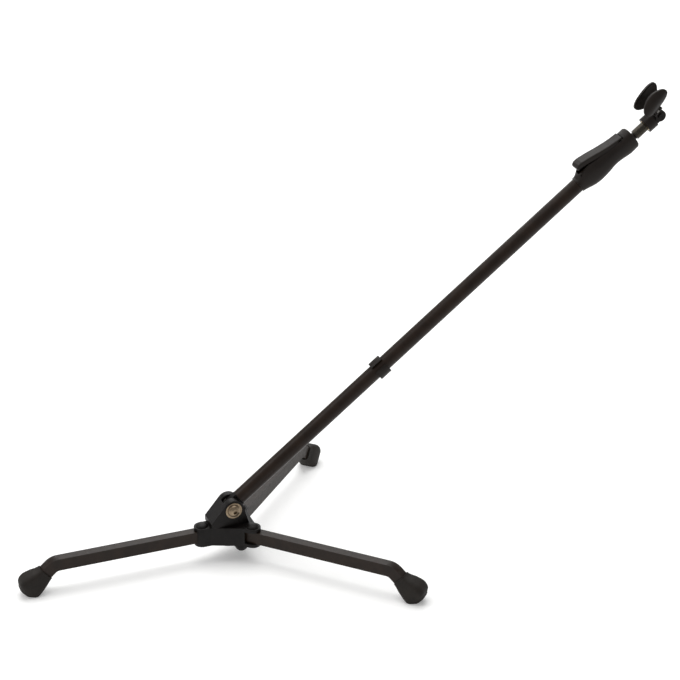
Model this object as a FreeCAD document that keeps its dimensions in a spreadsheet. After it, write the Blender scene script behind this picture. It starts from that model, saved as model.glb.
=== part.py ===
import FreeCAD, Part
import Sketcher
import math
import os
import re

# A low tripod stand with a leaning, height-adjustable pole and a sprung microphone clip.
# The origin is on the floor under the hub's axis. +X is the way the pole leans, +Z is up.
# Lengths are in millimetres and angles in degrees.

doc = FreeCAD.newDocument("leaning_stand")
sheet = doc.addObject("Spreadsheet::Sheet", "Dimensions")

DIMENSIONS = {
    # hub: a core with three lobes, one for each leg
    "hub_bottom": 30.5, "hub_top": 64.5, "hub_core_radius": 26.0, "lobe_radius": 13.5, "web_half": 7.5,
    "leg_pivot_radius": 46.0, "front_leg_angle": 46.0, "slot_height": 21.4, "slot_turn_radius": 15.7,
    # legs of rectangular tube, each bent down near its end
    "leg_width": 16.0, "leg_depth": 21.0, "leg_wall": 1.5, "leg_middle": 47.5, "leg_tail": 13.0,
    "leg_straight": 246.0, "leg_bend": 42.0, "leg_bend_radius": 20.0, "leg_end_run": 36.0,
    # rubber boots
    "boot_mouth_gap": 11.5,
    # leg bolts, their bushes and nuts
    "leg_bolt_radius": 4.0, "leg_bush_radius": 6.5, "leg_dome_radius": 10.5, "leg_dome_rise": 5.5,
    "leg_nut_flats": 13.0, "leg_nut_depth": 5.0, "leg_recess_radius": 8.5, "running_gap": 0.05,
    "slot_gap": 0.3,
    # clevis on the hub
    "clevis_x": 4.5, "clevis_height": 93.0, "clevis_thickness": 36.0, "clevis_eye": 17.5,
    "clevis_back": 34.5, "clevis_front": 30.8, "clevis_shoulder": 9.0, "clevis_back_slope": 50.4,
    "clevis_front_slope": 18.0, "clevis_slot": 12.4, "clevis_slot_reach": 14.0, "clevis_slot_drop": 13.5,
    "clevis_bolt_radius": 4.0, "clevis_bolt_x": 18.0, "clevis_bolt_y": 14.0, "clevis_bolt_top": 76.0,
    "cap_nut_radius": 13.5, "cap_nut_depth": 19.0,
    # tilt bolt, its washers, nut and friction discs
    "tilt_bolt_radius": 5.0, "tilt_head_radius": 11.0, "tilt_head_rise": 7.0, "tilt_socket_flats": 6.0,
    "tilt_socket_depth": 4.0, "tilt_washer_radius": 14.0, "tilt_washer_depth": 1.6,
    "tilt_nut_flats": 17.0, "tilt_nut_depth": 8.5, "tilt_bolt_overhang": 2.0,
    "friction_disc_radius": 11.5, "friction_disc_depth": 1.0,
    # pole: its lean from upright, the tongued plug and the outer tube
    "pole_lean": 52.0, "tongue_width": 10.0, "tongue_eye": 12.0, "tube_start": 20.0, "plug_length": 40.0,
    "outer_radius": 12.5, "outer_bore": 11.2, "outer_tube_end": 822.0,
    # clip for the lead, on the outer tube
    "lead_clip_place": 328.0, "lead_clip_length": 22.0, "lead_clip_radius": 17.0, "lead_clip_gap": 10.0,
    "lead_clip_turn": -45.0,
    # one-hand clutch
    "clutch_start": 786.0, "clutch_cap_start": 898.0, "clutch_end": 906.0, "clutch_bore": 12.5,
    "lever_width": 22.0, "lever_slot_start": 797.0, "lever_slot_end": 891.0, "lever_side_gap": 0.3,
    "lever_pin_radius": 2.0, "lever_pin_place": 884.0, "lever_pin_offset": 13.0, "lever_pin_length": 25.6,
    "plate_radius": 11.2, "plate_offset": 1.2, "plate_depth": 3.0, "plate_place": 850.0,
    "plate_spacing": 4.5, "plate_gap": 0.25, "cap_round": 2.5, "cap_shoulder": 3.0,
    "spring_wire": 1.0, "spring_place": 826.0, "spring_length": 23.0, "spring_pitch": 4.0,
    "spring_gap": 0.6,
    # inner tube, set off towards the low side so that it can't turn
    "inner_radius": 6.35, "inner_bore": 5.2, "inner_offset": 4.2, "inner_start": 400.0, "inner_end": 911.0,
    "glide_radius": 11.15, "glide_length": 25.0, "adaptor_radius": 8.6, "adaptor_length": 22.0,
    "thread_radius": 7.94, "thread_length": 15.0, "thread_chamfer": 1.0,
    # microphone clip
    "socket_radius": 14.0, "socket_start": 934.0, "socket_length": 17.0, "insert_radius": 10.0,
    "insert_length": 15.0, "clip_pivot_place": 963.5, "clip_pivot_offset": 2.3, "clip_tongue": 8.0,
    "clip_eye": 9.5, "clip_ear": 3.8, "clip_gap": 0.15, "clip_lean": 12.5, "clip_bolt_radius": 2.5,
    "tongue_gap": 0.6, "tongue_relief": 2.0, "screw_slot": 1.2, "bolt_overhang": 1.0,
    "clip_head_radius": 5.0, "clip_head_depth": 3.0, "clip_nut_flats": 8.0,
    "channel_rise": 31.7, "channel_middle": 11.0, "grip_radius": 17.0, "jaw_wall": 3.4, "pad_wall": 1.4,
    "jaw_length": 54.0, "jaw_height": 27.0, "pad_margin": 3.0, "jaw_pin_radius": 1.6,
    "jaw_pin_rise": 14.5, "jaw_pin_spread": 12.0, "knuckle_radius": 3.6, "knuckle_gap": 5.0,
    "saddle_start": -6.0, "saddle_end": 12.0, "saddle_lug": 3.5, "saddle_low": 9.6, "lug_low": 10.8,
    "saddle_high": 15.3, "saddle_half_width": 7.8, "jaw_spring_wire": 0.9, "jaw_spring_gap": 0.15,
    "knuckle_end_gap": 0.4, "jaw_spring_end_gap": 0.6,
}

# The clutch's moulded body: how far each section is up the pole, its reach on the pole's high
# side and on its low side, and its half-width.
CLUTCH_SECTIONS = {
    "foot": (786.0, 13.6, 13.6, 13.6), "flare": (796.0, 17.0, 15.6, 15.5), "heel": (807.0, 25.0, 19.0, 17.3),
    "palm": (822.0, 25.5, 20.8, 18.0), "belly": (842.0, 22.3, 19.5, 17.3), "waist": (860.0, 19.0, 17.8, 16.5),
    "neck": (875.0, 17.6, 20.0, 17.0), "swell": (888.0, 17.6, 22.0, 17.5), "crown": (898.0, 17.5, 21.5, 17.5),
}
# The clutch's lever: how far up the pole each station is, and the reach of its outer and inner
# faces on the pole's high side.
LEVER_STATIONS = {
    "lever_foot": (799.5, 31.0, 26.0), "lever_hook": (805.0, 34.4, 26.0), "lever_grip": (812.0, 34.4, 25.0),
    "lever_arm": (830.0, 30.3, 20.0), "lever_mid": (848.0, 25.3, 16.0), "lever_waist": (864.0, 21.5, 12.2),
    "lever_neck": (877.0, 19.3, 9.0), "lever_top": (890.0, 18.0, 9.0),
}
# The boot: how far each section is from the mouth, its rise above the leg's middle line, its
# depth, breadth and corner radius.
BOOT_SECTIONS = {
    "boot_mouth": (0.0, 0.5, 29.0, 24.0, 6.0), "boot_collar": (5.0, 0.8, 29.6, 24.6, 6.0),
    "boot_flare": (15.0, 2.5, 35.0, 29.5, 9.0), "boot_heel": (29.0, 4.0, 41.0, 34.0, 12.0),
    "boot_toe": (40.0, 3.0, 39.0, 32.0, 13.0), "boot_tip": (47.0, 2.0, 26.0, 21.0, 9.0),
}
for stations, measures in ((CLUTCH_SECTIONS, ("place", "high", "low", "half")),
                           (BOOT_SECTIONS, ("place", "rise", "depth", "breadth", "corner")),
                           (LEVER_STATIONS, ("place", "outer", "inner"))):
    for station, sizes in stations.items():
        DIMENSIONS.update({f"{station}_{measure}": number for measure, number in zip(measures, sizes)})
for row, (name, value) in enumerate(DIMENSIONS.items(), start=1):
    sheet.set(f"A{row}", name)
    sheet.set(f"B{row}", str(value))
    sheet.setAlias(f"B{row}", name)
doc.recompute()

LEAST_CUT = 0.001    # mm3: a pocket that takes less than this has missed the solid
BEYOND = 1.0         # how far a cutting tool runs past the face that it cuts
FAR = 150.0          # further than any piece of the clutch or the clip reaches


def formula(text):
    """An expression on the sheet's cells, from text that uses their plain names."""
    def cell(word):
        return f"Dimensions.{word[0]}" if word[0] in DIMENSIONS else word[0]
    return re.sub(r"[a-z_]+", cell, text)


def size(text):
    """The present value of such an expression."""
    answer = sheet.evalExpression(formula(str(text)))
    return float(getattr(answer, "Value", answer))


def bind(thing, prop, text):
    thing.setExpression(prop, formula(str(text)))


def new_body(label):
    body = doc.addObject("PartDesign::Body", label)
    body.Label = label
    return body


def sketch_on(body, plane, offset="0"):
    """A sketch on one of the body's origin planes, moved along the plane's normal."""
    sketch = body.newObject("Sketcher::SketchObject", f"{body.Label}_sketch")
    origin_plane = [item for item in body.Origin.OriginFeatures if item.Role == plane][0]
    sketch.AttachmentSupport = [(origin_plane, "")]
    sketch.MapMode = "FlatFace"
    bind(sketch, "AttachmentOffset.Base.z", offset)
    return sketch


def constrain_point(sketch, geometry, point, x, y):
    """Bind one point of a sketch to a pair of expressions."""
    for kind, text in (("DistanceX", x), ("DistanceY", y)):
        index = sketch.addConstraint(Sketcher.Constraint(kind, -1, 1, geometry, point, size(text)))
        bind(sketch, f"Constraints[{index}]", text)


def draw_polygon(sketch, corners):
    """A closed outline of straight lines through the corners, given as pairs of expressions."""
    spots = [FreeCAD.Vector(size(x), size(y), 0) for x, y in corners]
    first = sketch.GeometryCount
    for start, end in zip(spots, spots[1:] + spots[:1]):
        sketch.addGeometry(Part.LineSegment(start, end))
    for number, (x, y) in enumerate(corners):
        following = first + (number + 1) % len(corners)
        sketch.addConstraint(Sketcher.Constraint("Coincident", first + number, 2, following, 1))
        constrain_point(sketch, first + number, 1, x, y)
    return sketch


def draw_circle(sketch, x, y, radius):
    centre = FreeCAD.Vector(size(x), size(y), 0)
    circle = sketch.addGeometry(Part.Circle(centre, FreeCAD.Vector(0, 0, 1), size(radius)))
    constrain_point(sketch, circle, 3, x, y)
    index = sketch.addConstraint(Sketcher.Constraint("Radius", circle, size(radius)))
    bind(sketch, f"Constraints[{index}]", radius)
    return sketch


def pad(body, sketch, length, centred=False):
    solid = body.newObject("PartDesign::Pad", f"{body.Label}_pad")
    solid.Profile = sketch
    solid.SideType = "Symmetric" if centred else "One side"
    bind(solid, "Length", length)


def pocket(body, sketch, length):
    """Cut a centred pocket; the cut has to remove material."""
    doc.recompute()
    before = body.Shape.Volume
    cut = body.newObject("PartDesign::Pocket", f"{body.Label}_pocket")
    cut.Profile = sketch
    cut.SideType = "Symmetric"
    bind(cut, "Length", length)
    doc.recompute()
    if body.Shape.Volume > before - LEAST_CUT:
        raise RuntimeError(f"a pocket in {body.Label} cuts nothing")


def turned(label, *outlines):
    """A piece turned about its own Z axis: each outline is a list of (radius, height) pairs."""
    body = new_body(label)
    for outline in outlines:
        sketch = draw_polygon(sketch_on(body, "XZ_Plane"), outline)
        turning = body.newObject("PartDesign::Revolution", f"{label}_turning")
        turning.Profile = sketch
        turning.ReferenceAxis = (sketch, ["V_Axis"])
        turning.Angle = 360
    return body


def ring(label, inner, outer, low, high):
    return turned(label, [(inner, low), (outer, low), (outer, high), (inner, high)])


def hexagon(flats):
    """Six corners of a hexagon, from its size across the flats."""
    return [(f"{flats}/sqrt(3)*cos({60 * step})", f"{flats}/sqrt(3)*sin({60 * step})") for step in range(6)]


def dome(radius, foot, rise, steps=6):
    """Points over a dome, from its rim in to its axis."""
    curve = [(f"{radius}*cos({90 * step / steps})", f"{foot} + {rise}*sin({90 * step / steps})")
             for step in range(steps)]
    return curve + [("0", f"{foot} + {rise}")]


def place(body, x=0, y=0, z=0, frame=None, turn=0, axis=(0, 0, 1)):
    """Put a sub-part at a point of a frame, turned about an axis of that frame."""
    spot = FreeCAD.Vector(size(x), size(y), size(z))
    local = FreeCAD.Placement(spot, FreeCAD.Rotation(FreeCAD.Vector(*axis), size(turn)))
    body.Placement = frame.multiply(local) if frame else local
    return body


def feature(label, shape, placement=None):
    """A sub-part whose shape is made in code from the sheet's sizes."""
    item = doc.addObject("Part::Feature", label)
    item.Label = label
    item.Shape = shape
    if placement:
        item.Placement = placement.multiply(shape.Placement)
    return item


def group_of(label, pattern, placements):
    """Identical pieces in one sub-part, as separate solids, copied from a pattern piece."""
    doc.recompute()
    copies = []
    for placement in placements:
        copy = pattern.Shape.copy()
        copy.Placement = placement.multiply(pattern.Shape.Placement)
        copies.append(copy)
    patterns.append(pattern)
    return feature(label, Part.makeCompound(copies))


def at(x=0, y=0, z=0, turn=0, axis=(0, 0, 1)):
    return FreeCAD.Placement(FreeCAD.Vector(x, y, z), FreeCAD.Rotation(FreeCAD.Vector(*axis), turn))


patterns = []
parts = []

# Frames. The pole's frame has its origin on the tilt bolt and +Z along the pole, so that its
# +X is the pole's low side. The clip's frame is on the clip's pivot, leaned back from the pole.
pole_frame = at(size("clevis_x"), 0, size("clevis_height"), size("pole_lean"), (0, 1, 0))
clip_frame = pole_frame.multiply(
    at(size("inner_offset + clip_pivot_offset"), 0, size("clip_pivot_place"), -size("clip_lean"), (0, 1, 0)))
leg_angles = {"rear": 180.0, "front_left": size("front_leg_angle"), "front_right": -size("front_leg_angle")}


def on_circle(radius, angle):
    return radius * math.cos(math.radians(angle)), radius * math.sin(math.radians(angle))


def leg_frame(side):
    """A leg's frame: origin on its bolt at the middle of its depth, +X out along the leg."""
    x, y = on_circle(size("leg_pivot_radius"), leg_angles[side])
    return at(x, y, size("leg_middle"), leg_angles[side])


# Hub: a casting with a slot for each leg. The front legs' slots are round, so that the legs can
# swing forward until they lie side by side.
LOBES = ("180", "front_leg_angle", "-front_leg_angle")
CLEVIS_BOLTS = [("clevis_bolt_x", "clevis_bolt_y"), ("clevis_bolt_x", "-clevis_bolt_y")]
SLOT_HALF = "(leg_width/2 + slot_gap)"


def polar(radius, angle):
    return f"{radius}*cos({angle})", f"{radius}*sin({angle})"


hub = new_body("hub")
hub_height = "hub_top - hub_bottom"
pad(hub, draw_circle(sketch_on(hub, "XY_Plane", "hub_bottom"), "0", "0", "hub_core_radius"), hub_height)
for first, second in zip(LOBES, LOBES[1:] + LOBES[:1]):
    # a straight web between two lobes, a little inside their outer tangent
    (start_x, start_y), (end_x, end_y) = (polar("leg_pivot_radius", angle) for angle in (first, second))
    span_x, span_y = f"(({end_x}) - ({start_x}))", f"(({end_y}) - ({start_y}))"
    span = f"sqrt({span_x}^2 + {span_y}^2)"
    away_x, away_y = f"web_half*({span_y})/{span}", f"-1*web_half*({span_x})/{span}"
    outward = 1 if size(f"{away_x}*({start_x}) + {away_y}*({start_y})") > 0 else -1
    web = [("0", "0"), (start_x, start_y),
           (f"{start_x} + {outward}*{away_x}", f"{start_y} + {outward}*({away_y})"),
           (f"{end_x} + {outward}*{away_x}", f"{end_y} + {outward}*({away_y})"), (end_x, end_y)]
    pad(hub, draw_polygon(sketch_on(hub, "XY_Plane", "hub_bottom"), web), hub_height)
for angle in LOBES:
    pivot_x, pivot_y = polar("leg_pivot_radius", angle)
    side_x, side_y = f"lobe_radius*sin({angle})", f"lobe_radius*cos({angle})"
    arm = [(side_x, f"-{side_y}"), (f"{pivot_x} + {side_x}", f"{pivot_y} - {side_y}"),
           (f"{pivot_x} - {side_x}", f"{pivot_y} + {side_y}"), (f"-{side_x}", side_y)]
    pad(hub, draw_polygon(sketch_on(hub, "XY_Plane", "hub_bottom"), arm), hub_height)
    lobe = draw_circle(sketch_on(hub, "XY_Plane", "hub_bottom"), pivot_x, pivot_y, "lobe_radius")
    pad(hub, lobe, hub_height)
rear_inside = "-(leg_pivot_radius - leg_tail - slot_gap)"
rear_slot = [(rear_inside, f"-{SLOT_HALF}"), (rear_inside, SLOT_HALF),
             ("-2*leg_pivot_radius", SLOT_HALF), ("-2*leg_pivot_radius", f"-{SLOT_HALF}")]
pocket(hub, draw_polygon(sketch_on(hub, "XY_Plane", "leg_middle"), rear_slot), "slot_height")
for angle in LOBES[1:]:
    turning_room = draw_circle(sketch_on(hub, "XY_Plane", "leg_middle"), *polar("leg_pivot_radius", angle),
                               "slot_turn_radius")
    pocket(hub, turning_room, "slot_height")
for angle in LOBES:
    hole = draw_circle(sketch_on(hub, "XY_Plane", "leg_middle"), *polar("leg_pivot_radius", angle),
                       "leg_bolt_radius + running_gap")
    pocket(hub, hole, "3*slot_height")
    recess = draw_circle(sketch_on(hub, "XY_Plane", "hub_bottom"), *polar("leg_pivot_radius", angle),
                         "leg_recess_radius")
    pocket(hub, recess, "2*leg_nut_depth")
for spot in CLEVIS_BOLTS:
    stud_hole = draw_circle(sketch_on(hub, "XY_Plane", "leg_middle"), *spot, "clevis_bolt_radius")
    pocket(hub, stud_hole, "3*slot_height")
parts.append(hub)

# Clevis: a cast block with a rounded eye, bolted on the hub. Its slot is open above and in
# front, and the web behind the slot is where the upright pole stops.
clevis = new_body("clevis")
back_tangent = ("clevis_x - clevis_eye*sin(clevis_back_slope)",
                "clevis_height + clevis_eye*cos(clevis_back_slope)")
front_tangent = ("clevis_x + clevis_eye*cos(clevis_front_slope)",
                 "clevis_height + clevis_eye*sin(clevis_front_slope)")
cheek = [("-clevis_back", "hub_top"), ("-clevis_back", "hub_top + clevis_shoulder"), back_tangent,
         front_tangent, ("clevis_front", "hub_top")]
pad(clevis, draw_polygon(sketch_on(clevis, "XZ_Plane"), cheek), "clevis_thickness", centred=True)
pad(clevis, draw_circle(sketch_on(clevis, "XZ_Plane"), "clevis_x", "clevis_height", "clevis_eye"),
    "clevis_thickness", centred=True)
slot_back, slot_front = "clevis_x - clevis_slot_reach", "clevis_front + clevis_eye"
slot_floor, slot_open = "clevis_height - clevis_slot_drop", "clevis_height + 2*clevis_eye"
slot = [(slot_back, slot_floor), (slot_front, slot_floor), (slot_front, slot_open), (slot_back, slot_open)]
pocket(clevis, draw_polygon(sketch_on(clevis, "XZ_Plane"), slot), "clevis_slot")
pocket(clevis, draw_circle(sketch_on(clevis, "XZ_Plane"), "clevis_x", "clevis_height",
                           "tilt_bolt_radius + running_gap"), "2*clevis_thickness")
for spot in CLEVIS_BOLTS:
    pocket(clevis, draw_circle(sketch_on(clevis, "XY_Plane", "hub_top"), *spot, "clevis_bolt_radius"),
           "2*(clevis_bolt_top - hub_top)")
parts.append(clevis)

# Clevis bolts come up from under the hub, each with a large domed cap nut below.
bolt_places = [at(size(x), size(y), 0) for x, y in CLEVIS_BOLTS]
stud = ring("stud_pattern", "0", "clevis_bolt_radius", "hub_bottom - cap_nut_depth/2", "clevis_bolt_top")
cap_outline = [("clevis_bolt_radius", "hub_bottom"),
               *dome("cap_nut_radius", "hub_bottom", "-1*cap_nut_depth"),
               ("0", "hub_bottom - cap_nut_depth/2"), ("clevis_bolt_radius", "hub_bottom - cap_nut_depth/2")]
parts.append(group_of("clevis_studs", stud, bolt_places))
parts.append(group_of("clevis_cap_nuts", turned("cap_nut_pattern", cap_outline), bolt_places))

# Leg bolts: domed heads on the hub, each with a plain nut under it.
lobe_places = [at(*on_circle(size("leg_pivot_radius"), angle), 0) for angle in leg_angles.values()]
leg_bolt = turned("leg_bolt_pattern",
                  [("0", "hub_bottom"), ("leg_bolt_radius", "hub_bottom"),
                   ("leg_bolt_radius", "hub_top"), *dome("leg_dome_radius", "hub_top", "leg_dome_rise")])
leg_nut = new_body("leg_nut_pattern")
pad(leg_nut, draw_polygon(sketch_on(leg_nut, "XY_Plane", "hub_bottom"), hexagon("leg_nut_flats")),
    "leg_nut_depth")
pocket(leg_nut, draw_circle(sketch_on(leg_nut, "XY_Plane", "hub_bottom"), "0", "0", "leg_bolt_radius"),
       "3*leg_nut_depth")
parts.append(group_of("leg_bolts", leg_bolt, lobe_places))
parts.append(group_of("leg_nuts", leg_nut, lobe_places))

# Tilt bolt across the clevis: domed head with a hexagon socket on the -Y side, washers, nut.
# Its own +Z points out of the head.
tilt_frame = at(size("clevis_x"), 0, size("clevis_height"), 90, (1, 0, 0))
washer_face = "clevis_thickness/2 + tilt_washer_depth"
bolt_tip = f"-({washer_face}) - tilt_nut_depth - tilt_bolt_overhang"
tilt_bolt = turned("tilt_bolt",
                   [("0", bolt_tip), ("tilt_bolt_radius", bolt_tip), ("tilt_bolt_radius", washer_face),
                    *dome("tilt_head_radius", washer_face, "tilt_head_rise")])
pocket(tilt_bolt, draw_polygon(sketch_on(tilt_bolt, "XY_Plane", f"{washer_face} + tilt_head_rise"),
                               hexagon("tilt_socket_flats")), "2*tilt_socket_depth")
tilt_bolt.Placement = tilt_frame
parts.append(tilt_bolt)
tilt_nut = new_body("tilt_nut")
pad(tilt_nut, draw_polygon(sketch_on(tilt_nut, "XY_Plane", f"-({washer_face}) - tilt_nut_depth"),
                           hexagon("tilt_nut_flats")), "tilt_nut_depth")
nut_hole = draw_circle(sketch_on(tilt_nut, "XY_Plane", f"-({washer_face})"), "0", "0", "tilt_bolt_radius")
pocket(tilt_nut, nut_hole, "3*tilt_nut_depth")
tilt_nut.Placement = tilt_frame
parts.append(tilt_nut)
washer = ring("washer_pattern", "tilt_bolt_radius", "tilt_washer_radius", "0", "tilt_washer_depth")
half_block = size("clevis_thickness") / 2
parts.append(group_of("tilt_washers", washer,
                      [tilt_frame.multiply(at(0, 0, half_block)),
                       tilt_frame.multiply(at(0, 0, -half_block - size("tilt_washer_depth")))]))
disc = ring("disc_pattern", "tilt_bolt_radius + running_gap", "friction_disc_radius", "0",
            "friction_disc_depth")
half_slot = size("clevis_slot") / 2
parts.append(group_of("friction_discs", disc,
                      [tilt_frame.multiply(at(0, 0, half_slot - size("friction_disc_depth"))),
                       tilt_frame.multiply(at(0, 0, -half_slot))]))


# Legs: rectangular tube along the leg's own X, bent down near the end. A bush holds the tube
# open where the bolt goes through, and a rubber boot is pushed over the end.
def end_of_bend():
    """How far out and how far down a leg's bend ends, from the leg's bolt."""
    turn = math.radians(size("leg_bend"))
    bend_radius = size("leg_bend_radius")
    return size("leg_straight") + bend_radius * math.sin(turn), -bend_radius * (1 - math.cos(turn))


def tube_path(sketch):
    """The line of a leg: straight, a bend, and a short run down to the boot."""
    turn = math.radians(size("leg_bend"))
    bend_radius, straight, run = size("leg_bend_radius"), size("leg_straight"), size("leg_end_run")
    bend_end = FreeCAD.Vector(*end_of_bend(), 0)
    tip = bend_end + FreeCAD.Vector(run * math.cos(turn), -run * math.sin(turn), 0)
    circle = Part.Circle(FreeCAD.Vector(straight, -bend_radius, 0), FreeCAD.Vector(0, 0, 1), bend_radius)
    tail, bend_start = FreeCAD.Vector(-size("leg_tail"), 0, 0), FreeCAD.Vector(straight, 0, 0)
    sketch.addGeometry(Part.LineSegment(tail, bend_start))
    sketch.addGeometry(Part.ArcOfCircle(circle, math.pi / 2 - turn, math.pi / 2))
    sketch.addGeometry(Part.LineSegment(bend_end, tip))
    sketch.addConstraint(Sketcher.Constraint("Horizontal", 0))
    sketch.addConstraint(Sketcher.Constraint("Tangent", 0, 2, 1, 2))
    sketch.addConstraint(Sketcher.Constraint("Tangent", 1, 1, 2, 1))
    constrain_point(sketch, 0, 1, "-1*leg_tail", "0")
    for kind, target, text in (("DistanceX", (-1, 1, 0, 2), "leg_straight"),
                               ("Radius", (1,), "leg_bend_radius"), ("Distance", (2,), "leg_end_run")):
        index = sketch.addConstraint(Sketcher.Constraint(kind, *target, size(text)))
        bind(sketch, f"Constraints[{index}]", text)
    index = sketch.addConstraint(Sketcher.Constraint("Angle", 2, -turn))
    bind(sketch, f"Constraints[{index}]", "-1deg*leg_bend")
    return sketch


def make_leg(label):
    leg = new_body(label)
    path = tube_path(sketch_on(leg, "XZ_Plane"))
    profile = sketch_on(leg, "YZ_Plane", "-1*leg_tail")
    for inset in ("0", "leg_wall"):
        across, deep = f"(leg_width/2 - {inset})", f"(leg_depth/2 - {inset})"
        draw_polygon(profile, [(across, deep), (f"-{across}", deep), (f"-{across}", f"-{deep}"),
                               (across, f"-{deep}")])
    doc.recompute()
    pipe = leg.newObject("PartDesign::AdditivePipe", f"{label}_pipe")
    pipe.Profile = profile
    pipe.Spine = path
    pocket(leg, draw_circle(sketch_on(leg, "XY_Plane"), "0", "0", "leg_bush_radius"), "2*leg_depth")
    return leg


def block(low, high):
    return Part.makeBox(*(b - a for a, b in zip(low, high)), FreeCAD.Vector(*low))


def make_boot(label, leg_solid):
    """A boot: rounded sections along the leg's end run, cut flat at the floor, less the tube."""
    turn = math.radians(size("leg_bend"))
    along = FreeCAD.Vector(math.cos(turn), 0, -math.sin(turn))
    across = FreeCAD.Vector(math.sin(turn), 0, math.cos(turn))
    bend_x, bend_z = end_of_bend()
    bend_end = FreeCAD.Vector(bend_x, 0, bend_z)
    wires = []
    for name in BOOT_SECTIONS:
        station, rise, depth, breadth, corner = (
            size(f"{name}_{measure}") for measure in ("place", "rise", "depth", "breadth", "corner"))
        middle = bend_end + along * (size("boot_mouth_gap") + station) + across * rise
        wires.append(rounded_rectangle(depth, breadth, corner, at(*middle, 90 + size("leg_bend"), (0, 1, 0))))
    shell = Part.makeLoft(wires, True, False)
    floor = block((0, -FAR, -2 * size("leg_middle")), (bend_x + FAR, FAR, -size("leg_middle")))
    return feature(label, shell.cut(floor).cut(leg_solid))


def rounded_rectangle(length, breadth, corner, placement):
    """A closed wire, centred on a placement and lying in its XY plane."""
    half_x, half_y = length / 2 - corner, breadth / 2 - corner
    edges = []
    middles = ((half_x, half_y), (-half_x, half_y), (-half_x, -half_y), (half_x, -half_y))
    for quarter, (x, y) in enumerate(middles):
        circle = Part.Circle(FreeCAD.Vector(x, y, 0), FreeCAD.Vector(0, 0, 1), corner)
        edges.append(Part.ArcOfCircle(circle, quarter * math.pi / 2, (quarter + 1) * math.pi / 2).toShape())
    ends = [(edge.Vertexes[0].Point, edge.Vertexes[-1].Point) for edge in edges]
    lines = [Part.LineSegment(ends[number][1], ends[(number + 1) % 4][0]).toShape() for number in range(4)]
    wire = Part.Wire([edge for pair in zip(edges, lines) for edge in pair])
    wire.Placement = placement
    return wire


for side in leg_angles:
    frame = leg_frame(side)
    leg = make_leg(f"{side}_leg")
    doc.recompute()
    half_width, half_depth = size("leg_width") / 2, size("leg_depth") / 2
    stub = block((0, -half_width, -half_depth), (size("leg_end_run"), half_width, half_depth))
    bend_x, bend_z = end_of_bend()
    stub.Placement = at(bend_x, 0, bend_z, size("leg_bend"), (0, 1, 0))
    boot = make_boot(f"{side}_boot", stub)
    bush = ring(f"{side}_bush", "leg_bolt_radius + running_gap", "leg_bush_radius", "-leg_depth/2",
                "leg_depth/2")
    for piece in (leg, boot, bush):
        piece.Placement = frame
        parts.append(piece)

# Pole: a plug with a tongue, pressed into the outer tube.
plug = new_body("pole_plug")
tongue = [("-1*tongue_eye", "0"), ("tongue_eye", "0"), ("tongue_eye", "tube_start"),
          ("-1*tongue_eye", "tube_start")]
pad(plug, draw_polygon(sketch_on(plug, "XZ_Plane"), tongue), "tongue_width", centred=True)
pad(plug, draw_circle(sketch_on(plug, "XZ_Plane"), "0", "0", "tongue_eye"), "tongue_width", centred=True)
pad(plug, draw_circle(sketch_on(plug, "XY_Plane", "tube_start"), "0", "0", "outer_bore"), "plug_length")
pocket(plug, draw_circle(sketch_on(plug, "XZ_Plane"), "0", "0", "tilt_bolt_radius + running_gap"),
       "2*tongue_width")
parts.append(place(plug, frame=pole_frame))
outer_tube = ring("outer_tube", "outer_bore", "outer_radius", "tube_start", "outer_tube_end")
parts.append(place(outer_tube, frame=pole_frame))

# Lead clip: a moulded collar snapped on the outer tube, open along one side, where it is pushed on.
lead_clip = ring("lead_clip", "outer_radius", "lead_clip_radius", "lead_clip_place",
                 "lead_clip_place + lead_clip_length")
clip_gap = [("-1*lead_clip_gap/2", "-2*lead_clip_radius"), ("lead_clip_gap/2", "-2*lead_clip_radius"),
            ("lead_clip_gap/2", "0"), ("-1*lead_clip_gap/2", "0")]
pocket(lead_clip, draw_polygon(sketch_on(lead_clip, "XY_Plane", "lead_clip_place"), clip_gap),
       "4*lead_clip_length")
parts.append(place(lead_clip, frame=pole_frame, turn="lead_clip_turn"))


# Clutch: a moulded body round the top of the outer tube. Squeezing its lever frees two tilting
# plates, which otherwise bind on the inner tube.
EGG_POINTS = 16
EGG_SHOULDERS = 0.85    # an oval at 1, and squarer below it


def shouldered(value):
    return math.copysign(abs(value) ** EGG_SHOULDERS, value)


def egg(height, high, low, half):
    """A section of the clutch: square-shouldered, with its own reach on the high and low sides."""
    points = []
    for step in range(EGG_POINTS):
        angle = 2 * math.pi * step / EGG_POINTS
        across, along = shouldered(math.cos(angle)), shouldered(math.sin(angle))
        points.append(FreeCAD.Vector((low if across > 0 else high) * across, half * along, height))
    curve = Part.BSplineCurve()
    curve.interpolate(points, PeriodicFlag=True)
    return Part.Wire([curve.toShape()])


def rod(radius, low, high, x=0.0, y=0.0):
    return Part.makeCylinder(radius, high - low, FreeCAD.Vector(x, y, low))


def cross_rod(radius, length, x, z, y=0.0):
    """A rod along Y, with its middle at y."""
    return Part.makeCylinder(radius, length, FreeCAD.Vector(x, y - length / 2, z), FreeCAD.Vector(0, 1, 0))


def coil(mean_radius, wire, pitch, low, length, x=0.0, y=0.0):
    """A spring along Z, coiled from square wire: the wire's section swept round a helix."""
    helix = Part.makeHelix(pitch, length, mean_radius)
    inside, outside, half = mean_radius - wire / 2, mean_radius + wire / 2, wire / 2
    corners = ((inside, -half), (outside, -half), (outside, half), (inside, half), (inside, -half))
    section = Part.makePolygon([FreeCAD.Vector(reach, 0, height) for reach, height in corners])
    spring = Part.Wire(helix).makePipeShell([section], True, True)
    spring.translate(FreeCAD.Vector(x, y, low))
    return spring


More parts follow.
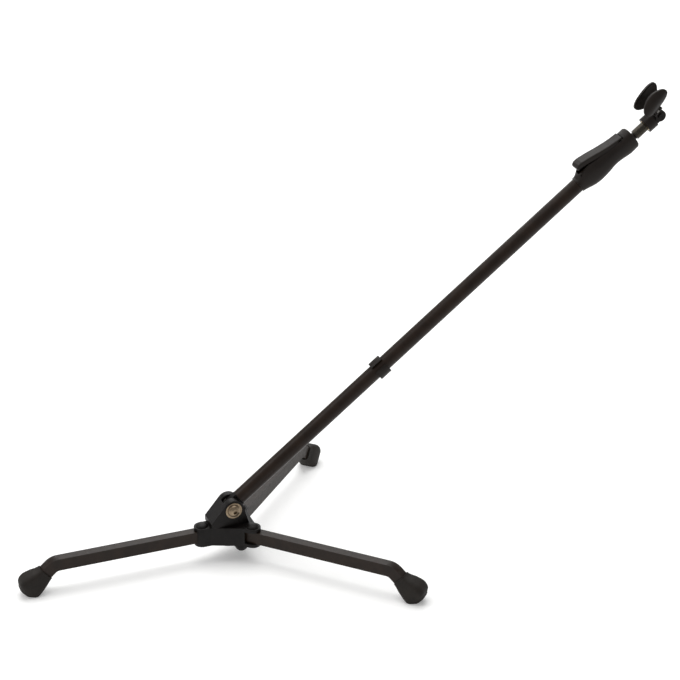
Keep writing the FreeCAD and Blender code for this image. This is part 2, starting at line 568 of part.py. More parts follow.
sections = [egg(*(size(f"{name}_{measure}") for measure in ("place", "high", "low", "half")))
            for name in CLUTCH_SECTIONS]
slot_half = size("lever_width") / 2 + size("lever_side_gap")
pin_x, pin_z = -size("lever_pin_offset"), size("lever_pin_place")
guide_radius = size("inner_radius + running_gap")
shell = Part.makeLoft(sections, True, False)
shell = shell.cut(rod(size("clutch_bore"), size("clutch_start") - BEYOND, size("clutch_cap_start") + BEYOND))
shell = shell.cut(block((-FAR, -slot_half, size("lever_slot_start")), (0, slot_half, size("lever_slot_end"))))
shell = shell.cut(cross_rod(size("lever_pin_radius"), size("lever_pin_length"), pin_x, pin_z))
parts.append(feature("clutch_body", shell, pole_frame))

# The cap closes the clutch's top and guides the inner tube.
crown = [size(f"crown_{measure}") for measure in ("high", "low", "half")]
cap = Part.makeLoft([egg(size("clutch_cap_start"), *crown),
                     egg(size("clutch_end - cap_shoulder"), *crown),
                     egg(size("clutch_end"), *(reach - size("cap_round") for reach in crown))], True, True)
cap = cap.cut(rod(guide_radius, size("clutch_cap_start") - BEYOND, size("clutch_end") + BEYOND,
                  size("inner_offset")))
parts.append(feature("clutch_cap", cap, pole_frame))
lever_pin = cross_rod(size("lever_pin_radius"), size("lever_pin_length"), pin_x, pin_z)
parts.append(feature("lever_pin", lever_pin, pole_frame))

# The two clutch plates are round steel plates; the outer tube's bore is a little wider.
plates = []
for number in range(2):
    low = size("plate_place") + number * size("plate_spacing")
    high = low + size("plate_depth")
    plate = rod(size("plate_radius"), low, high, size("plate_offset"))
    plate_hole = rod(size("inner_radius + plate_gap"), low - BEYOND, high + BEYOND, size("inner_offset"))
    plates.append(plate.cut(plate_hole))
parts.append(feature("clutch_plates", Part.makeCompound(plates), pole_frame))
clutch_spring = coil(size("inner_radius + spring_gap + spring_wire/2"), size("spring_wire"),
                     size("spring_pitch"), size("spring_place"), size("spring_length"), size("inner_offset"))
parts.append(feature("clutch_spring", clutch_spring, pole_frame))

# Lever: a moulded hook under the fingers, turning on its pin near the top of the clutch.
lever = new_body("clutch_lever")
outer_side = [(f"-1*{name}_outer", f"{name}_place") for name in LEVER_STATIONS]
inner_side = [(f"-1*{name}_inner", f"{name}_place") for name in reversed(LEVER_STATIONS)]
pad(lever, draw_polygon(sketch_on(lever, "XZ_Plane"), outer_side + inner_side), "lever_width", centred=True)
pocket(lever, draw_circle(sketch_on(lever, "XZ_Plane"), "-1*lever_pin_offset", "lever_pin_place",
                          "lever_pin_radius + running_gap"), "2*lever_width")
parts.append(place(lever, frame=pole_frame))

# Inner tube, with a guide at its foot and a plated screw adaptor at its top. It sits off the
# outer tube's axis, so that it cannot turn in the clutch.
inner_frame = pole_frame.multiply(at(size("inner_offset"), 0, 0))
inner_tube = ring("inner_tube", "inner_bore", "inner_radius", "inner_start", "inner_end")
glide = new_body("inner_glide")
pad(glide, draw_circle(sketch_on(glide, "XY_Plane", "inner_start"), "-1*inner_offset", "0", "glide_radius"),
    "glide_length")
pocket(glide, draw_circle(sketch_on(glide, "XY_Plane", "inner_start"), "0", "0", "inner_radius"),
       "4*glide_length")
thread_start = "inner_end + adaptor_length"
thread_end = f"{thread_start} + thread_length"
adaptor = turned("thread_adaptor", [
    ("0", "inner_end - insert_length"), ("inner_bore", "inner_end - insert_length"),
    ("inner_bore", "inner_end"),
    ("adaptor_radius", "inner_end"), ("adaptor_radius", thread_start), ("thread_radius", thread_start),
    ("thread_radius", f"{thread_end} - thread_chamfer"), ("thread_radius - thread_chamfer", thread_end),
    ("0", thread_end)])
for piece in (inner_tube, glide, adaptor):
    parts.append(place(piece, frame=inner_frame))

# Clip socket: a moulded barrel over a brass thread, with a tongue that the clip turns on.
socket_end = size("socket_start + socket_length")
pivot_place = size("clip_pivot_place")
socket = rod(size("socket_radius"), size("socket_start"), socket_end)
insert_end = size("socket_start + insert_length")
socket = socket.cut(rod(size("insert_radius"), size("socket_start") - BEYOND, insert_end))
half_tongue = size("clip_tongue") / 2
eye = size("clip_eye")
pivot_x = size("clip_pivot_offset")
tongue_solid = block((pivot_x - eye, -half_tongue, socket_end - BEYOND),
                     (pivot_x + eye, half_tongue, pivot_place))
tongue_solid = tongue_solid.fuse(cross_rod(eye, size("clip_tongue"), pivot_x, pivot_place))
socket = socket.fuse(tongue_solid)
socket = socket.cut(cross_rod(size("clip_bolt_radius + running_gap"), FAR, pivot_x, pivot_place))
parts.append(feature("clip_socket", socket.removeSplitter(), inner_frame))
insert = ring("thread_insert", "thread_radius + running_gap", "insert_radius", "socket_start",
              "socket_start + insert_length")
parts.append(place(insert, frame=inner_frame))

# Clip saddle: two ears on the socket's tongue, a bar along the microphone and two end lugs that
# hold the jaws' pins. In the clip's frame -X is towards the microphone and +Z along it.
ear_in = half_tongue + size("clip_gap")
ear_out = ear_in + size("clip_ear")
low, high = size("saddle_low"), size("saddle_high")
half_bar = size("saddle_half_width")
lug = size("saddle_lug")
start, end = size("saddle_start"), size("saddle_end")
pin_rise, pin_spread = size("jaw_pin_rise"), size("jaw_pin_spread")
knuckle = size("knuckle_radius")
saddle = block((-high, -half_bar, start), (-low, half_bar, end))
for lug_start in (start, end - lug):
    bar = block((-pin_rise - knuckle, -pin_spread, lug_start),
                (-size("lug_low"), pin_spread, lug_start + lug))
    saddle = saddle.fuse(bar)
    for side in (1, -1):
        saddle = saddle.fuse(rod(knuckle, lug_start, lug_start + lug, -pin_rise, side * pin_spread))
for side in (1, -1):
    middle = side * (ear_in + ear_out) / 2
    saddle = saddle.fuse(cross_rod(eye, size("clip_ear"), 0, 0, middle))
    near, far = sorted((side * ear_in, side * ear_out))
    saddle = saddle.fuse(block((-high, near, start), (0, far, eye)))
    pin_hole = rod(size("jaw_pin_radius"), start - BEYOND, end + BEYOND, -pin_rise, side * pin_spread)
    saddle = saddle.cut(pin_hole)
tongue_room = block((-2 * eye, -ear_in, -2 * eye), (0, ear_in, size("tongue_relief")))
tongue_room = tongue_room.fuse(cross_rod(eye + size("tongue_gap"), 2 * ear_in, 0, 0))
microphone_room = rod(size("grip_radius"), -FAR, FAR, -size("channel_rise"))
bolt_hole = cross_rod(size("clip_bolt_radius"), FAR, 0, 0)
saddle = saddle.cut(microphone_room).cut(tongue_room).cut(bolt_hole)
parts.append(feature("clip_saddle", saddle.removeSplitter(), clip_frame))

# The clip's pivot bolt and nut, and the pins and springs of the jaws.
head_radius, head_depth = size("clip_head_radius"), size("clip_head_depth")
bolt_radius = size("clip_bolt_radius")
bolt_end = ear_out + head_depth + size("bolt_overhang")
pivot_bolt = cross_rod(bolt_radius, ear_out + bolt_end, 0, 0, (bolt_end - ear_out) / 2)
pivot_bolt = pivot_bolt.fuse(cross_rod(head_radius, head_depth, 0, 0, -ear_out - head_depth / 2))
half_cut, head_face = size("screw_slot") / 2, -ear_out - head_depth
screw_slot = block((-head_radius, head_face - BEYOND, -half_cut),
                   (head_radius, head_face + 2 * half_cut, half_cut))
parts.append(feature("clip_pivot_bolt", pivot_bolt.cut(screw_slot).removeSplitter(), clip_frame))
nut_frame = clip_frame.multiply(at(0, ear_out + head_depth, 0, 90, (1, 0, 0)))
clip_nut = new_body("clip_pivot_nut")
pad(clip_nut, draw_polygon(sketch_on(clip_nut, "XY_Plane"), hexagon("clip_nut_flats")), "clip_head_depth")
pocket(clip_nut, draw_circle(sketch_on(clip_nut, "XY_Plane"), "0", "0", "clip_bolt_radius"),
       "4*clip_head_depth")
clip_nut.Placement = nut_frame
parts.append(clip_nut)
pin = ring("jaw_pin_pattern", "0", "jaw_pin_radius", "saddle_start", "saddle_end")
pin_places = [clip_frame.multiply(at(-pin_rise, side * pin_spread, 0)) for side in (1, -1)]
parts.append(group_of("jaw_pins", pin, pin_places))
gap = size("knuckle_gap")
gap_start = (start + end - gap) / 2
wire = size("jaw_spring_wire")
end_gap = size("jaw_spring_end_gap")
springs = [coil(size("jaw_pin_radius + jaw_spring_gap") + wire / 2, wire, 1.25 * wire, gap_start + end_gap,
                gap - 2 * end_gap, -pin_rise, side * pin_spread) for side in (1, -1)]
parts.append(feature("jaw_springs", Part.makeCompound(springs), clip_frame))

# Jaws: two curved plates whose outline is an oval, each with a knuckle on its pin and a soft
# lining.
channel_rise, channel_middle = size("channel_rise"), size("channel_middle")
grip = size("grip_radius")
half_length, half_height = size("jaw_length") / 2, size("jaw_height") / 2


def oval(shrink):
    """The jaws' outline as a solid along Y, smaller all round by an amount."""
    centre = FreeCAD.Vector(-channel_rise, -FAR, channel_middle)
    tip = centre + FreeCAD.Vector(0, 0, half_length - shrink)
    side_tip = centre + FreeCAD.Vector(half_height - shrink, 0, 0)
    edge = Part.Ellipse(tip, side_tip, centre).toShape()
    return Part.Face(Part.Wire([edge])).extrude(FreeCAD.Vector(0, 2 * FAR, 0))


def channel_shell(inner, outer):
    """The wall of a tube round the microphone, longer than the jaws."""
    low_end, high_end = channel_middle - 2 * half_length, channel_middle + 2 * half_length
    return rod(outer, low_end, high_end, -channel_rise).cut(rod(inner, low_end, high_end, -channel_rise))


for name, side in (("left", 1), ("right", -1)):
    near, far = sorted((0, side * FAR))
    half_space = block((-FAR, near, -FAR), (FAR, far, FAR))
    knuckle_low, knuckle_high = start + lug + size("knuckle_end_gap"), end - lug - size("knuckle_end_gap")
    foot_near, foot_far = sorted((side * (pin_spread - knuckle), side * 2 * pin_spread))
    foot = block((-channel_rise + half_height / 2, foot_near, knuckle_low),
                 (-pin_rise, foot_far, knuckle_high))
    jaw = channel_shell(grip, grip + size("jaw_wall")).common(oval(0).fuse(foot)).common(half_space)
    jaw = jaw.fuse(rod(knuckle, knuckle_low, knuckle_high, -pin_rise, side * pin_spread))
    jaw = jaw.cut(rod(knuckle, gap_start, gap_start + gap, -pin_rise, side * pin_spread))
    jaw = jaw.cut(rod(size("jaw_pin_radius + running_gap"), start, end, -pin_rise, side * pin_spread))
    parts.append(feature(f"{name}_jaw", jaw.removeSplitter(), clip_frame))
    lining = channel_shell(grip - size("pad_wall"), grip).common(oval(size("pad_margin"))).common(half_space)
    parts.append(feature(f"{name}_jaw_pad", lining, clip_frame))

# Check every feature and every sub-part, then write one file for each sub-part.
doc.recompute()
for item in doc.Objects:
    if any(word in item.State for word in ("Invalid", "Error")):
        raise RuntimeError(f"{item.Label} is not sound: {item.State}")
os.makedirs("parts", exist_ok=True)
for piece in parts:
    if piece.Shape.isNull() or not piece.Shape.isValid() or piece.Shape.Volume <= 0:
        raise RuntimeError(f"{piece.Label} has no sound shape")
    piece.Shape.exportStep(f"parts/{piece.Label}.step")
print(f"{len(parts)} sub-parts written")
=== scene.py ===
import math

import bmesh
import bpy
from mathutils import Matrix, Vector


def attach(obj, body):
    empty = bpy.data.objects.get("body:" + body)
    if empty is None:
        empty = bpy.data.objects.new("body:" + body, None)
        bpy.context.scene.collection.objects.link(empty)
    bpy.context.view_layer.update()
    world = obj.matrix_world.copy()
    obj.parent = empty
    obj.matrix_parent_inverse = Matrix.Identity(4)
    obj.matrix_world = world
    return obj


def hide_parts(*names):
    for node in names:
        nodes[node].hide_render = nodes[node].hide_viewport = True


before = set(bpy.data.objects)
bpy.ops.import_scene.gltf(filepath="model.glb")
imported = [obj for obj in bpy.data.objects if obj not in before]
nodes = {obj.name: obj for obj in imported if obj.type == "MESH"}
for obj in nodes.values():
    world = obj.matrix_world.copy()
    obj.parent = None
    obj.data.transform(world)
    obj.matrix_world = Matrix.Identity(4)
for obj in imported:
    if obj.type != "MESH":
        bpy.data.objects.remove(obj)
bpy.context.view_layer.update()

# ---------------------------------------------------------------------------------------------
# Legs and pole tubes. Drawn steel tube: the legs are rectangular and bent once near the end, the
# pole is two round tubes, one sliding in the other. The polyester powder coat is sprayed and baked.


def linear(code):
    """An sRGB hex colour as the linear colour that a shader takes."""
    channels = [int(code[place:place + 2], 16) / 255 for place in (0, 2, 4)]
    return [c / 12.92 if c <= 0.04045 else ((c + 0.055) / 1.055) ** 2.4 for c in channels] + [1.0]


def add(tree, kind, inputs=None, **settings):
    """Adds a shader node with its settings, and its inputs as values or as sockets to link."""
    made = tree.nodes.new(kind)
    for name, value in settings.items():
        setattr(made, name, value)
    for name, value in (inputs or {}).items():
        socket = made.inputs[name]
        if isinstance(value, bpy.types.NodeSocket):
            tree.links.new(value, socket)
        else:
            socket.default_value = value
    return made


def finish_of(name):
    """A new material and its tree, cleared for the nodes that follow."""
    material = bpy.data.materials.new(name)
    material.use_nodes = True
    material.node_tree.nodes.clear()
    return material, material.node_tree


def paint(material, *names):
    """Gives CAD nodes a material."""
    for name in names:
        for slot in nodes[name].material_slots:
            slot.link = "OBJECT"
            slot.material = material


def soften(radius, *names):
    """A small rounded edge on CAD nodes, as a coat or a mould leaves it."""
    same_point = 0.00001
    for name in names:
        weld = nodes[name].modifiers.new("merge", "WELD")
        weld.merge_threshold = same_point
        edge = nodes[name].modifiers.new("edge", "BEVEL")
        edge.width = radius
        edge.segments = 2
        edge.limit_method = "ANGLE"
        edge.angle_limit = math.radians(35)


# It gives the eye a warm satin black. The orange peel breaks up highlights, and the rubbed marks
# make the sheen uneven. Patterns are counted per metre, so 1700 is one about every 0.6 mm.
COAT_PATCHES = 45.0
COAT_RUBS = 160.0
COAT_PEEL = 1700.0
powder_coat, tree = finish_of("satin black powder coat")
coords = add(tree, "ShaderNodeTexCoord").outputs["Object"]
cloud = add(tree, "ShaderNodeTexNoise", {
    "Vector": coords, "Scale": COAT_PATCHES, "Detail": 5.0, "Roughness": 0.6})
tone = add(tree, "ShaderNodeValToRGB", {"Fac": cloud.outputs["Fac"]})
tone.color_ramp.elements[0].position = 0.35
tone.color_ramp.elements[0].color = linear("1b120c")
tone.color_ramp.elements[1].position = 0.7
tone.color_ramp.elements[1].color = linear("261b13")
rub = add(tree, "ShaderNodeTexNoise", {
    "Vector": coords, "Scale": COAT_RUBS, "Detail": 6.0, "Roughness": 0.7})
sheen = add(tree, "ShaderNodeMapRange", {"Value": rub.outputs["Fac"], "From Min": 0.3, "From Max": 0.7,
                                         "To Min": 0.32, "To Max": 0.46})
peel = add(tree, "ShaderNodeTexNoise", {"Vector": coords, "Scale": COAT_PEEL, "Detail": 2.0})
bump = add(tree, "ShaderNodeBump", {"Height": peel.outputs["Fac"], "Strength": 0.12, "Distance": 0.0004})
surface = add(tree, "ShaderNodeBsdfPrincipled", {
    "Base Color": tone.outputs["Color"], "Roughness": sheen.outputs["Result"],
    "Normal": bump.outputs["Normal"], "IOR": 1.5, "Specular IOR Level": 0.2})
add(tree, "ShaderNodeOutputMaterial", {"Surface": surface.outputs["BSDF"]})
paint(powder_coat, "rear_leg", "front_left_leg", "front_right_leg", "outer_tube", "inner_tube")
soften(0.0012, "rear_leg", "front_left_leg", "front_right_leg")

# ---------------------------------------------------------------------------------------------
# Hub, clevis and pole plug, with the bolts, nuts, studs and pins that are black as well. Zinc
# castings and steel fasteners, coated like the legs and bolted together.

# It gives the eye a deeper black than the tubes. That is painted shade: the same coat made darker to stand
# for the shade on the hub's and clevis's upright faces. The cast skin gives a coarser, duller grain.
CAST_PATCHES = 60.0
CAST_GRIT = 700.0
shade_darkened_cast_coat, tree = finish_of("black powder coat on a casting, darkened as painted shade")
coords = add(tree, "ShaderNodeTexCoord").outputs["Object"]
cloud = add(tree, "ShaderNodeTexNoise", {
    "Vector": coords, "Scale": CAST_PATCHES, "Detail": 6.0, "Roughness": 0.6})
tone = add(tree, "ShaderNodeValToRGB", {"Fac": cloud.outputs["Fac"]})
tone.color_ramp.elements[0].position = 0.35
# These two colours are painted shade, darker than the legs' coat.
tone.color_ramp.elements[0].color = linear("090605")
tone.color_ramp.elements[1].position = 0.72
tone.color_ramp.elements[1].color = linear("0f0a08")
grit = add(tree, "ShaderNodeTexNoise", {"Vector": coords, "Scale": CAST_GRIT, "Detail": 4.0})
sheen = add(tree, "ShaderNodeMapRange", {"Value": grit.outputs["Fac"], "From Min": 0.3, "From Max": 0.7,
                                         "To Min": 0.38, "To Max": 0.55})
bump = add(tree, "ShaderNodeBump", {"Height": grit.outputs["Fac"], "Strength": 0.3, "Distance": 0.0006})
surface = add(tree, "ShaderNodeBsdfPrincipled", {
    "Base Color": tone.outputs["Color"], "Roughness": sheen.outputs["Result"],
    "Normal": bump.outputs["Normal"], "IOR": 1.5, "Specular IOR Level": 0.2})
add(tree, "ShaderNodeOutputMaterial", {"Surface": surface.outputs["BSDF"]})
paint(shade_darkened_cast_coat, "hub", "clevis", "pole_plug", "leg_bolts", "leg_nuts", "clevis_cap_nuts",
      "clevis_studs", "lever_pin", "clip_pivot_bolt", "clip_pivot_nut")
soften(0.0018, "hub", "clevis")

# ---------------------------------------------------------------------------------------------
# Rubber boots, and the soft linings of the clip's jaws. Moulded black rubber: each boot is pushed
# over the end of its leg and stands on a flat sole, and the linings are bonded in.

# It gives the eye a matt, slightly brown black with hardly any highlight.
RUBBER_PATCHES = 70.0
RUBBER_GRAIN = 1400.0
rubber, tree = finish_of("moulded black rubber")
coords = add(tree, "ShaderNodeTexCoord").outputs["Object"]
cloud = add(tree, "ShaderNodeTexNoise", {
    "Vector": coords, "Scale": RUBBER_PATCHES, "Detail": 5.0, "Roughness": 0.65})
tone = add(tree, "ShaderNodeValToRGB", {"Fac": cloud.outputs["Fac"]})
tone.color_ramp.elements[0].position = 0.35
tone.color_ramp.elements[0].color = linear("17130f")
tone.color_ramp.elements[1].position = 0.75
tone.color_ramp.elements[1].color = linear("231d18")
grain = add(tree, "ShaderNodeTexNoise", {"Vector": coords, "Scale": RUBBER_GRAIN, "Detail": 3.0})
bump = add(tree, "ShaderNodeBump", {"Height": grain.outputs["Fac"], "Strength": 0.25, "Distance": 0.0004})
surface = add(tree, "ShaderNodeBsdfPrincipled", {
    "Base Color": tone.outputs["Color"], "Roughness": 0.68, "Normal": bump.outputs["Normal"], "IOR": 1.52,
    "Specular IOR Level": 0.25})
add(tree, "ShaderNodeOutputMaterial", {"Surface": surface.outputs["BSDF"]})
paint(rubber, "left_jaw_pad", "right_jaw_pad")

# A boot is built in mm, standing on its mouth. Each section says how far it is from the mouth, its
# rise, its depth and its breadth.
BOOT_SECTIONS = [(0.0, 0.5, 27.0, 22.0), (5.0, 0.8, 28.6, 23.6), (15.0, 2.5, 35.0, 29.5),
                 (29.0, 4.0, 41.0, 34.0), (40.0, 3.0, 39.0, 32.0), (47.0, 2.0, 26.0, 21.0)]
BOOT_CORNER = 6.0
BOOT_WALL = 2.85
BOOT_POCKET = 24.0
FIRST_RING = 1.0
RING_STEP = 2.0
NEAR_ENOUGH = 0.01
TIP_SHRINKS = (0.8, 0.6)
TIP_STEP = 1.2
SOLE_RIM = 3.0
SOLE_RECESS = 1.2
MM = 0.001
MOULDED_EDGE = 0.0012

# The leg that the boot fits: its bend, the height of its middle line, and where the boot's mouth is
# from the leg's bolt, outwards and upwards. That is 246 mm of straight tube, the bend at a radius
# of 20 mm, and 11.5 mm more.
LEG_BEND = math.radians(42)
LEG_MIDDLE = 47.5
MOUTH_PLACE = (267.93, -12.83)


def between(sections, place):
    """The section at a place, on a smooth curve through the given ones."""
    last = len(sections) - 1
    rounding = 1e-9
    index = max(i for i in range(last) if sections[i][0] <= place + rounding)
    before, start, end, after = (sections[min(max(index + step, 0), last)] for step in (-1, 0, 1, 2))
    t = (place - start[0]) / (end[0] - start[0])
    return [0.5 * (2 * b + (c - a) * t + (2 * a - 5 * b + 4 * c - d) * t ** 2
                   + (3 * b - a - 3 * c + d) * t ** 3)
            for a, b, c, d in zip(before[1:], start[1:], end[1:], after[1:])]


def finished(name, shape, material):
    """A bmesh as an object of the scene, smooth except over edges sharper than 35 degrees."""
    sharp = math.radians(35)
    bmesh.ops.recalc_face_normals(shape, faces=shape.faces)
    for face in shape.faces:
        face.smooth = True
    for edge in shape.edges:
        edge.smooth = len(edge.link_faces) == 2 and edge.calc_face_angle() < sharp
    mesh = bpy.data.meshes.new(name)
    shape.to_mesh(mesh)
    shape.free()
    mesh.materials.append(material)
    piece = bpy.data.objects.new(name, mesh)
    bpy.context.scene.collection.objects.link(piece)
    return piece


def facing(shape, direction):
    """The face of a shape that looks most squarely in a direction, the outermost if several do."""
    aim = Vector(direction)
    squarely = 0.99
    square = [face for face in shape.faces if face.normal.dot(aim) > squarely]
    return max(square, key=lambda face: face.calc_center_median().dot(aim))


def make_boot(side, body, pivot, heading):
    """One boot, drawn out ring by ring, hollowed for its leg, cut flat and put in place."""
    shape = bmesh.new()
    rise, depth, breadth = BOOT_SECTIONS[0][1:]
    bmesh.ops.create_cube(shape, size=1.0, matrix=Matrix.Translation((rise, 0, FIRST_RING / 2))
                          @ Matrix.Diagonal((depth, breadth, FIRST_RING, 1.0)))
    uprights = [edge for edge in shape.edges
                if abs((edge.verts[0].co - edge.verts[1].co).z) > FIRST_RING / 2]
    bmesh.ops.bevel(shape, geom=uprights, offset=BOOT_CORNER, affect="EDGES", segments=6, profile=0.5,
                    material=-1)
    shape.normal_update()
    length = BOOT_SECTIONS[-1][0]
    place = FIRST_RING
    while place < length - NEAR_ENOUGH:
        step = min(RING_STEP, length - place)
        end = bmesh.ops.extrude_discrete_faces(shape, faces=[facing(shape, (0, 0, 1))])["faces"][0]
        place += step
        new_rise, new_depth, new_breadth = between(BOOT_SECTIONS, min(place, length))
        bmesh.ops.translate(shape, verts=end.verts, vec=(new_rise - rise, 0, step))
        bmesh.ops.scale(shape, verts=end.verts, vec=(new_depth / depth, new_breadth / breadth, 1),
                        space=Matrix.Translation((-new_rise, 0, 0)))
        rise, depth, breadth = new_rise, new_depth, new_breadth
        shape.normal_update()
    # the rounded tip
    for shrink in TIP_SHRINKS:
        end = bmesh.ops.extrude_discrete_faces(shape, faces=[facing(shape, (0, 0, 1))])["faces"][0]
        bmesh.ops.translate(shape, verts=end.verts, vec=(0, 0, TIP_STEP))
        bmesh.ops.scale(shape, verts=end.verts, vec=(shrink, shrink, 1),
                        space=Matrix.Translation((-rise, 0, 0)))
        shape.normal_update()
    # the pocket that the leg's end sits in
    mouth = facing(shape, (0, 0, -1))
    bmesh.ops.inset_region(shape, faces=[mouth], thickness=BOOT_WALL, use_even_offset=True)
    shape.normal_update()
    floor_of_pocket = bmesh.ops.extrude_discrete_faces(shape, faces=[mouth])["faces"][0]
    bmesh.ops.translate(shape, verts=floor_of_pocket.verts, vec=(0, 0, BOOT_POCKET))
    # into the leg's frame, with +X out along the leg
    across = Vector((math.sin(LEG_BEND), 0, math.cos(LEG_BEND)))
    along = Vector((math.cos(LEG_BEND), 0, -math.sin(LEG_BEND)))
    turn = Matrix((across, (0, -1, 0), along)).transposed().to_4x4()
    bmesh.ops.transform(shape, verts=shape.verts,
                        matrix=Matrix.Translation((MOUTH_PLACE[0], 0, MOUTH_PLACE[1] + LEG_MIDDLE)) @ turn)
    # the flat sole, with a rim round a shallow recess
    cut = bmesh.ops.bisect_plane(shape, geom=shape.verts[:] + shape.edges[:] + shape.faces[:],
                                 plane_co=(0, 0, 0), plane_no=(0, 0, -1), clear_outer=True)
    rim = [edge for edge in cut["geom_cut"] if isinstance(edge, bmesh.types.BMEdge)]
    sole = bmesh.ops.contextual_create(shape, geom=rim)["faces"]
    shape.normal_update()
    bmesh.ops.recalc_face_normals(shape, faces=shape.faces)
    bmesh.ops.inset_region(shape, faces=sole, thickness=SOLE_RIM, depth=-SOLE_RECESS, use_even_offset=True)
    # to metres, and out to the leg that it belongs to
    bmesh.ops.transform(shape, verts=shape.verts, matrix=Matrix.Scale(MM, 4))
    bmesh.ops.rotate(shape, verts=shape.verts, cent=(0, 0, 0), matrix=Matrix.Rotation(heading, 3, "Z"))
    bmesh.ops.translate(shape, verts=shape.verts, vec=(pivot[0], pivot[1], 0))
    boot = finished(side + "_rubber_boot", shape, rubber)
    edge = boot.modifiers.new("moulded_edge", "BEVEL")
    edge.width = MOULDED_EDGE
    edge.segments = 3
    edge.limit_method = "ANGLE"
    edge.angle_limit = math.radians(40)
    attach(boot, body)
    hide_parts(side + "_boot")


# The legs' bolts stand on a circle round the hub's axis.
PIVOT_RADIUS = 0.046
for side, body, degrees in (("rear", "base", 180), ("front_left", "left_leg_group", 46),
                            ("front_right", "right_leg_group", -46)):
    heading = math.radians(degrees)
    make_boot(side, body, (PIVOT_RADIUS * math.cos(heading), PIVOT_RADIUS * math.sin(heading)), heading)

# ---------------------------------------------------------------------------------------------
# Moulded pieces: the lead clip, the clutch and its lever, and the microphone clip. Injection
# moulded in glass-filled nylon; they snap on, press on or turn on a pin.

# It gives the eye a black with a faint even sheen, from the spark-eroded grain of the mould.
NYLON_PATCHES = 55.0
NYLON_GRAIN = 1900.0
nylon, tree = finish_of("black glass-filled nylon")
coords = add(tree, "ShaderNodeTexCoord").outputs["Object"]
cloud = add(tree, "ShaderNodeTexNoise", {
    "Vector": coords, "Scale": NYLON_PATCHES, "Detail": 5.0, "Roughness": 0.6})
tone = add(tree, "ShaderNodeValToRGB", {"Fac": cloud.outputs["Fac"]})
tone.color_ramp.elements[0].position = 0.35
tone.color_ramp.elements[0].color = linear("150f0b")
tone.color_ramp.elements[1].position = 0.75
tone.color_ramp.elements[1].color = linear("1d1611")
grain = add(tree, "ShaderNodeTexNoise", {"Vector": coords, "Scale": NYLON_GRAIN, "Detail": 3.0})
sheen = add(tree, "ShaderNodeMapRange", {"Value": cloud.outputs["Fac"], "From Min": 0.3, "From Max": 0.7,
                                         "To Min": 0.4, "To Max": 0.52})
bump = add(tree, "ShaderNodeBump", {"Height": grain.outputs["Fac"], "Strength": 0.2, "Distance": 0.0003})
surface = add(tree, "ShaderNodeBsdfPrincipled", {
    "Base Color": tone.outputs["Color"], "Roughness": sheen.outputs["Result"],
    "Normal": bump.outputs["Normal"], "IOR": 1.53, "Specular IOR Level": 0.2})
add(tree, "ShaderNodeOutputMaterial", {"Surface": surface.outputs["BSDF"]})
paint(nylon, "lead_clip", "clutch_body", "clutch_cap", "clutch_lever", "clip_socket", "clip_saddle",
      "left_jaw", "right_jaw")
soften(0.0008, "lead_clip", "clip_saddle", "left_jaw", "right_jaw", "clip_socket")
soften(0.0024, "clutch_lever")

# ---------------------------------------------------------------------------------------------
# Bright metal: the tilt bolt with its nut and washers, the screw adaptor, the clutch's plates, the
# springs and jaw pins, and the thread in the clip's socket. Plated steel, and one piece of brass.
PLATE_PATCHES = 130.0
SHEEN_SPREAD = 0.12


def bright_metal(name, dark, light, rough, marks_per_metre):
    """Plated or turned metal. It gives the eye a broken highlight on a slightly uneven colour."""
    metal, tree = finish_of(name)
    coords = add(tree, "ShaderNodeTexCoord").outputs["Object"]
    cloud = add(tree, "ShaderNodeTexNoise", {
        "Vector": coords, "Scale": PLATE_PATCHES, "Detail": 5.0, "Roughness": 0.6})
    tone = add(tree, "ShaderNodeValToRGB", {"Fac": cloud.outputs["Fac"]})
    tone.color_ramp.elements[0].position = 0.3
    tone.color_ramp.elements[0].color = linear(dark)
    tone.color_ramp.elements[1].position = 0.72
    tone.color_ramp.elements[1].color = linear(light)
    marks = add(tree, "ShaderNodeTexNoise", {"Vector": coords, "Scale": marks_per_metre, "Detail": 3.0})
    sheen = add(tree, "ShaderNodeMapRange", {
        "Value": marks.outputs["Fac"], "From Min": 0.3, "From Max": 0.7, "To Min": rough,
        "To Max": rough + SHEEN_SPREAD})
    bump = add(tree, "ShaderNodeBump", {
        "Height": marks.outputs["Fac"], "Strength": 0.15, "Distance": 0.0002})
    surface = add(tree, "ShaderNodeBsdfPrincipled", {
        "Base Color": tone.outputs["Color"], "Metallic": 1.0, "Roughness": sheen.outputs["Result"],
        "Normal": bump.outputs["Normal"]})
    add(tree, "ShaderNodeOutputMaterial", {"Surface": surface.outputs["BSDF"]})
    return metal


paint(bright_metal("yellow zinc plate", "6f6050", "9a8a74", 0.3, 1500.0), "tilt_bolt", "tilt_nut",
      "tilt_washers")
paint(bright_metal("black nickel plate", "37342f", "4a463f", 0.22, 1800.0), "thread_adaptor")
paint(bright_metal("nickel plate", "6e6c69", "8e8b87", 0.24, 1800.0), "clutch_plates", "clutch_spring",
      "jaw_pins", "jaw_springs")
paint(bright_metal("turned brass", "9a7a3c", "c8a55c", 0.25, 1600.0), "thread_insert")

# ---------------------------------------------------------------------------------------------
# Natural nylon: the legs' bushes, the guide inside the pole and the clevis's friction discs.
# Moulded without colour; each is trapped between the pieces that it keeps apart.

# It gives the eye a creamy white with a dull gloss.
NATURAL_PATCHES = 90.0
natural, tree = finish_of("natural moulded nylon")
coords = add(tree, "ShaderNodeTexCoord").outputs["Object"]
cloud = add(tree, "ShaderNodeTexNoise", {"Vector": coords, "Scale": NATURAL_PATCHES, "Detail": 4.0})
tone = add(tree, "ShaderNodeValToRGB", {"Fac": cloud.outputs["Fac"]})
tone.color_ramp.elements[0].color = linear("c9c3b2")
tone.color_ramp.elements[1].color = linear("dcd7c8")
surface = add(tree, "ShaderNodeBsdfPrincipled", {"Base Color": tone.outputs["Color"], "Roughness": 0.45})
add(tree, "ShaderNodeOutputMaterial", {"Surface": surface.outputs["BSDF"]})
paint(natural, "rear_bush", "front_left_bush", "front_right_bush", "inner_glide", "friction_discs")

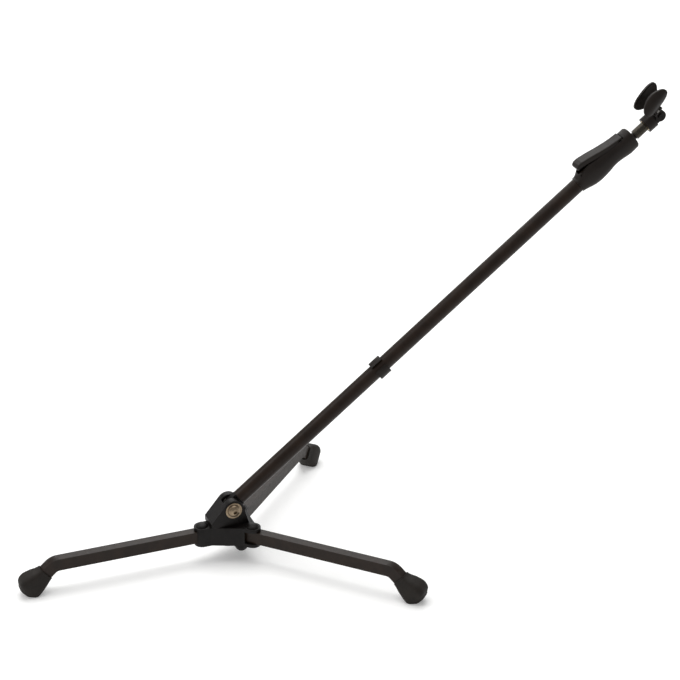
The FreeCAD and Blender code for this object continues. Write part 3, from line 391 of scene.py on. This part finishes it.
# ---------------------------------------------------------------------------------------------
# Studio: a paper floor, one large lamp above, a smaller one behind and another on the left, and
# an even white sky that fills the shadows.
FLOOR_REACH = 9.0
PAPER_GLOW = 0.18
SKY = 0.45
floor_mesh = bmesh.new()
bmesh.ops.create_grid(floor_mesh, x_segments=1, y_segments=1, size=FLOOR_REACH)
floor_data = bpy.data.meshes.new("studio_floor")
floor_mesh.to_mesh(floor_data)
floor_mesh.free()
floor = bpy.data.objects.new("studio_floor", floor_data)
bpy.context.scene.collection.objects.link(floor)

# Matt paper. It glows a little, which real paper doesn't, so that it stays white far from the lamps.
paper, tree = finish_of("white paper")
surface = add(tree, "ShaderNodeBsdfPrincipled", {
    "Base Color": linear("f4f4f3"), "Roughness": 0.9, "Emission Color": linear("ffffff"),
    "Emission Strength": PAPER_GLOW})
add(tree, "ShaderNodeOutputMaterial", {"Surface": surface.outputs["BSDF"]})
floor_data.materials.append(paper)

world = bpy.data.worlds.new("studio")
world.use_nodes = True
world.node_tree.nodes["Background"].inputs["Color"].default_value = linear("ffffff")
world.node_tree.nodes["Background"].inputs["Strength"].default_value = SKY
bpy.context.scene.world = world
bpy.context.scene.view_settings.view_transform = "Standard"


def softbox(name, place, aim, width, power):
    """A square lamp of a width in metres and a power in watts, turned to face a point."""
    light = bpy.data.lights.new(name, "AREA")
    light.shape = "SQUARE"
    light.size = width
    light.energy = power
    lamp = bpy.data.objects.new(name, light)
    lamp.location = place
    lamp.rotation_euler = (Vector(aim) - Vector(place)).to_track_quat("-Z", "Y").to_euler()
    bpy.context.scene.collection.objects.link(lamp)


softbox("back", (0.9, 2.9, 1.9), (0.2, 0.0, 0.1), 2.2, 28.0)
softbox("left", (-2.4, 0.8, 2.2), (0.2, 0.0, 0.2), 1.6, 24.0)
softbox("top", (0.4, 1.2, 4.4), (0.3, 0.6, 0.0), 3.6, 130.0)

# A long lens 3.7 m from the hub, looking about 26 degrees down.
camera_data = bpy.data.cameras.new("camera")
camera_data.sensor_width = 36.0
camera_data.lens = 115.80
camera = bpy.data.objects.new("camera", camera_data)
right = Vector((0.93249, -0.36120, 0.0))
forward = Vector((0.32477, 0.83845, -0.43763))
up = right.cross(forward)
eye = Vector((-0.96414, -3.00655, 1.93394))
camera.matrix_world = Matrix((
    (right.x, up.x, -forward.x, eye.x), (right.y, up.y, -forward.y, eye.y),
    (right.z, up.z, -forward.z, eye.z), (0, 0, 0, 1)))
bpy.context.scene.collection.objects.link(camera)
bpy.context.scene.camera = camera
